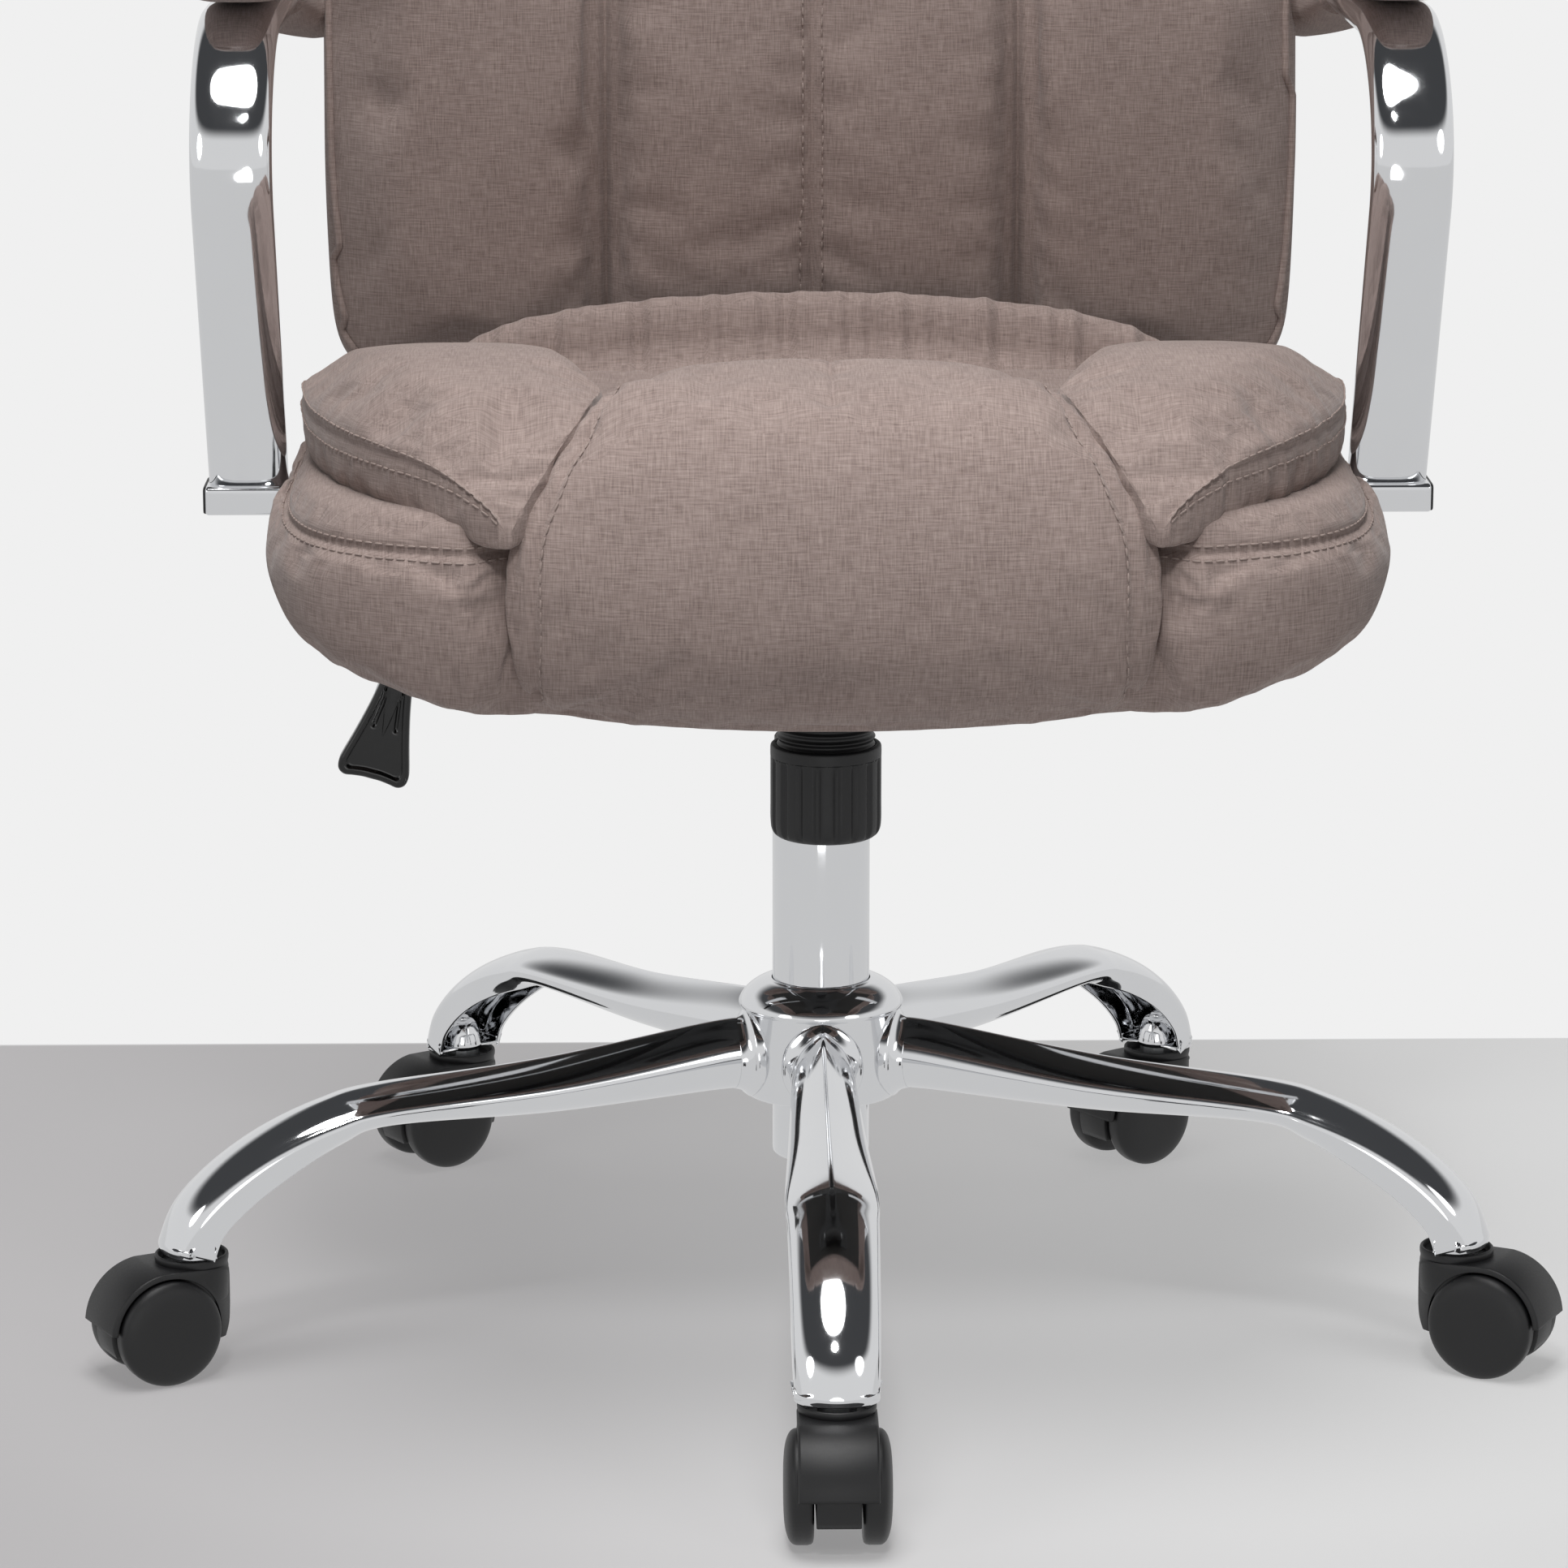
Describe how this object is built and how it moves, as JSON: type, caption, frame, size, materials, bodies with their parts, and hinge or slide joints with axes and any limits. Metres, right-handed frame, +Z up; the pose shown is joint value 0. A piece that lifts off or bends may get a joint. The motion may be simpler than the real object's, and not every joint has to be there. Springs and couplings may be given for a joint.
{
  "type": "upholstered swivel chair",
  "caption": "Upholstered armchair on a chrome five-star base with twin-wheel castors, gas lift, knee-tilt mechanism with tension knob, and chrome loop arms.",
  "frame": {"origin": "on the floor, under the axis of the gas lift", "axes": "+Z up, the sitter faces -Y, +X is the viewer's right when the seat is seen from the front"},
  "size_m": [0.7482, 0.8218, 1.144],
  "materials": {
    "chrome_plate": "bright polished",
    "turned_steel": "turned",
    "painted_steel": "satin black",
    "moulded_plastic": "fine moulded grain",
    "polished_plastic": "gloss",
    "woven_upholstery": "plain woven, slubbed",
    "plywood": "sanded"
  },
  "bodies": {
    "base": {"base_hub": "chrome_plate", "base_arm_1": "chrome_plate", "base_arm_2": "chrome_plate", "base_arm_3": "chrome_plate", "base_arm_4": "chrome_plate", "base_arm_5": "chrome_plate", "castor_socket_1": "chrome_plate", "castor_socket_2": "chrome_plate", "castor_socket_3": "chrome_plate", "castor_socket_4": "chrome_plate", "castor_socket_5": "chrome_plate", "column_tube": "chrome_plate", "column_bush": "moulded_plastic"},
    "lift_rod": {"piston_rod": "turned_steel", "thrust_bearing": "turned_steel"},
    "lift": {"gas_cylinder": "turned_steel", "mechanism_housing": "painted_steel", "tilt_pivot_shaft": "turned_steel", "spring_sleeve": "moulded_plastic", "tension_spring": "turned_steel", "lever_bush": "moulded_plastic"},
    "tilt": {"tilt_plate": "painted_steel", "seat_board": "plywood", "seat_cushion": "woven_upholstery", "back_board": "woven_upholstery", "back_cushion": "woven_upholstery", "arm_loop_left": "chrome_plate", "arm_loop_right": "chrome_plate", "arm_pad_left": "woven_upholstery", "arm_pad_right": "woven_upholstery"},
    "tension_cup": {"spring_cup": "turned_steel"},
    "tension_knob": {"tension_knob": "moulded_plastic"},
    "lever": {"lever_rod": "turned_steel", "lever_paddle": "polished_plastic"},
    "release_pin": {"release_pin": "turned_steel"},
    "castor_1": {"castor_hood_1": "moulded_plastic", "castor_axle_1": "turned_steel", "castor_stem_1": "turned_steel"},
    "castor_1_wheel_left": {"castor_wheel_1_left": "moulded_plastic"},
    "castor_1_wheel_right": {"castor_wheel_1_right": "moulded_plastic"},
    "castor_2": {"castor_hood_2": "moulded_plastic", "castor_axle_2": "turned_steel", "castor_stem_2": "turned_steel"},
    "castor_2_wheel_left": {"castor_wheel_2_left": "moulded_plastic"},
    "castor_2_wheel_right": {"castor_wheel_2_right": "moulded_plastic"},
    "castor_3": {"castor_hood_3": "moulded_plastic", "castor_axle_3": "turned_steel", "castor_stem_3": "turned_steel"},
    "castor_3_wheel_left": {"castor_wheel_3_left": "moulded_plastic"},
    "castor_3_wheel_right": {"castor_wheel_3_right": "moulded_plastic"},
    "castor_4": {"castor_hood_4": "moulded_plastic", "castor_axle_4": "turned_steel", "castor_stem_4": "turned_steel"},
    "castor_4_wheel_left": {"castor_wheel_4_left": "moulded_plastic"},
    "castor_4_wheel_right": {"castor_wheel_4_right": "moulded_plastic"},
    "castor_5": {"castor_hood_5": "moulded_plastic", "castor_axle_5": "turned_steel", "castor_stem_5": "turned_steel"},
    "castor_5_wheel_left": {"castor_wheel_5_left": "moulded_plastic"},
    "castor_5_wheel_right": {"castor_wheel_5_right": "moulded_plastic"}
  },
  "joints": [
    {"name": "castor_1_swivel", "type": "hinge", "parent": "base", "child": "castor_1", "pos_m": [0, -0.335, 0], "axis": [0, 0, 1], "continuous": true},
    {"name": "castor_1_left_wheel_spin", "type": "hinge", "parent": "castor_1", "child": "castor_1_wheel_left", "pos_m": [0, -0.355, 0.027], "axis": [1, 0, 0], "continuous": true},
    {"name": "castor_1_right_wheel_spin", "type": "hinge", "parent": "castor_1", "child": "castor_1_wheel_right", "pos_m": [0, -0.355, 0.027], "axis": [1, 0, 0], "continuous": true},
    {"name": "castor_2_swivel", "type": "hinge", "parent": "base", "child": "castor_2", "pos_m": [0.3186, -0.10352, 0], "axis": [0, 0, 1], "continuous": true},
    {"name": "castor_2_left_wheel_spin", "type": "hinge", "parent": "castor_2", "child": "castor_2_wheel_left", "pos_m": [0.33626, -0.11291, 0.027], "axis": [0.4695, 0.8829, 0], "continuous": true},
    {"name": "castor_2_right_wheel_spin", "type": "hinge", "parent": "castor_2", "child": "castor_2_wheel_right", "pos_m": [0.33626, -0.11291, 0.027], "axis": [0.4695, 0.8829, 0], "continuous": true},
    {"name": "castor_3_swivel", "type": "hinge", "parent": "base", "child": "castor_3", "pos_m": [0.19691, 0.27102, 0], "axis": [0, 0, 1], "continuous": true},
    {"name": "castor_3_left_wheel_spin", "type": "hinge", "parent": "castor_3", "child": "castor_3_wheel_left", "pos_m": [0.18094, 0.25898, 0.027], "axis": [0.6018, -0.7986, 0], "continuous": true},
    {"name": "castor_3_right_wheel_spin", "type": "hinge", "parent": "castor_3", "child": "castor_3_wheel_right", "pos_m": [0.18094, 0.25898, 0.027], "axis": [0.6018, -0.7986, 0], "continuous": true},
    {"name": "castor_4_swivel", "type": "hinge", "parent": "base", "child": "castor_4", "pos_m": [-0.19691, 0.27102, 0], "axis": [0, 0, 1], "continuous": true},
    {"name": "castor_4_left_wheel_spin", "type": "hinge", "parent": "castor_4", "child": "castor_4_wheel_left", "pos_m": [-0.21329, 0.25955, 0.027], "axis": [0.5736, -0.8192, 0], "continuous": true},
    {"name": "castor_4_right_wheel_spin", "type": "hinge", "parent": "castor_4", "child": "castor_4_wheel_right", "pos_m": [-0.21329, 0.25955, 0.027], "axis": [0.5736, -0.8192, 0], "continuous": true},
    {"name": "castor_5_swivel", "type": "hinge", "parent": "base", "child": "castor_5", "pos_m": [-0.3186, -0.10352, 0], "axis": [0, 0, 1], "continuous": true},
    {"name": "castor_5_left_wheel_spin", "type": "hinge", "parent": "castor_5", "child": "castor_5_wheel_left", "pos_m": [-0.33626, -0.11291, 0.027], "axis": [0.4695, -0.8829, 0], "continuous": true},
    {"name": "castor_5_right_wheel_spin", "type": "hinge", "parent": "castor_5", "child": "castor_5_wheel_right", "pos_m": [-0.33626, -0.11291, 0.027], "axis": [0.4695, -0.8829, 0], "continuous": true},
    {"name": "seat_swivel", "type": "hinge", "parent": "base", "child": "lift_rod", "pos_m": [0, 0, 0], "axis": [0, 0, 1], "continuous": true},
    {"name": "seat_height", "type": "slide", "parent": "lift_rod", "child": "lift", "axis": [0, 0, 1], "range_m": [0, 0.09]},
    {"name": "seat_tilt", "type": "hinge", "parent": "lift", "child": "tilt", "pos_m": [0, -0.155, 0.385], "axis": [-1, 0, 0], "range_deg": [0, 10], "stiffness_Nm_per_rad": 400, "springref_deg": -14.9, "deforming": ["tension_spring"]},
    {"name": "tension_slide", "type": "slide", "parent": "lift", "child": "tension_cup", "axis": [0, 0, 1], "range_m": [0, 0.0121], "deforming": ["tension_spring"]},
    {"name": "tension_knob_turn", "type": "hinge", "parent": "tension_cup", "child": "tension_knob", "pos_m": [0, -0.1, 0.2745], "axis": [0, 0, 1], "range_deg": [0, 1080]},
    {"name": "lever_lift", "type": "hinge", "parent": "lift", "child": "lever", "pos_m": [-0.048, 0, 0.3775], "axis": [0, 1, 0], "range_deg": [0, 6]},
    {"name": "release_pin_press", "type": "slide", "parent": "lift", "child": "release_pin", "axis": [0, 0, -1], "range_m": [0, 0.0052], "stiffness_N_per_m": 800, "springref_m": -0.004}
  ],
  "couplings": [
    {"joint": "tension_slide", "follows": "tension_knob_turn", "m_per_rad": 0.0006366},
    {"joint": "release_pin_press", "follows": "lever_lift", "m_per_rad": 0.048}
  ]
}
